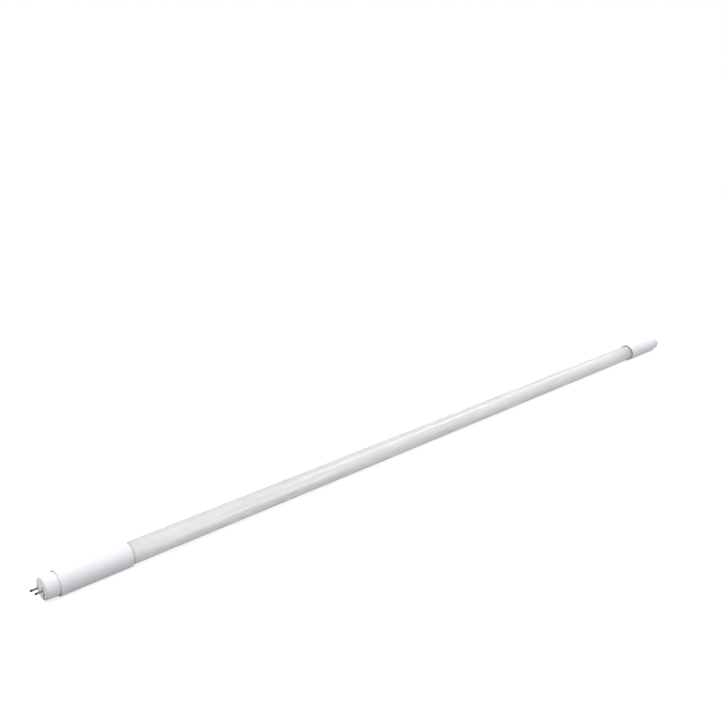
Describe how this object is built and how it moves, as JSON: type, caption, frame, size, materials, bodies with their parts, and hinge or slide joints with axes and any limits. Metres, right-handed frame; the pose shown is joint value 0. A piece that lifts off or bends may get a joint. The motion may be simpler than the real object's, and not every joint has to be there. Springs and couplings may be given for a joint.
{
  "type": "led tube",
  "caption": "Straight LED tube lamp: a slim opal plastic tube with long white sleeves, a nose and two contact pins at each end, light board and driver inside.",
  "frame": {"origin": "mid-length of the lamp, on the tube's axis", "axes": "+X along the tube from the driver end to the plain end, Y level along the line of the two pins, +Z the way the LEDs face, with the light board low in the tube"},
  "size_m": [1.2146, 0.028, 0.028],
  "materials": {
    "opal_plastic": "smooth opal, diffusing",
    "cap_plastic": "smooth satin white",
    "nose_plastic": "fine moulded white",
    "pin_metal": "nickel-plated brass, dulled",
    "white_laminate": "white resist",
    "led_tray": "white resin",
    "led_phosphor": "clear yellow resin",
    "clear_film": "clear film",
    "green_laminate": "green resist",
    "resistor_coating": "fired coating",
    "varistor_coating": "dipped resin",
    "black_resin": "moulded resin",
    "can_wrap": "shrunk sleeve",
    "dipped_red": "dipped resin",
    "ferrite": "ground ferrite",
    "bobbin_plastic": "moulded resin",
    "copper_wire": "enamelled copper",
    "wire_brown": "insulation",
    "wire_blue": "insulation",
    "wire_red": "insulation",
    "wire_black": "insulation",
    "wire_white": "insulation"
  },
  "bodies": {
    "root": {"diffuser_tube": "opal_plastic", "near_sleeve": "cap_plastic", "far_sleeve": "cap_plastic", "near_nose": "nose_plastic", "far_nose": "nose_plastic", "near_pin_left": "pin_metal", "near_pin_right": "pin_metal", "far_pin_left": "pin_metal", "far_pin_right": "pin_metal", "light_board": "white_laminate", "led_bodies": "led_tray", "led_fillings": "led_phosphor", "insulating_film": "clear_film", "driver_board": "green_laminate", "fuse_resistor": "resistor_coating", "varistor": "varistor_coating", "bridge_rectifier": "black_resin", "control_chip": "black_resin", "input_capacitor": "can_wrap", "output_capacitor": "can_wrap", "film_capacitor": "dipped_red", "coil_core": "ferrite", "coil_bobbin": "bobbin_plastic", "coil_winding": "copper_wire", "live_wire": "wire_brown", "neutral_wire": "wire_blue", "plus_wire": "wire_red", "minus_wire": "wire_black", "link_wire": "wire_white"}
  },
  "joints": []
}
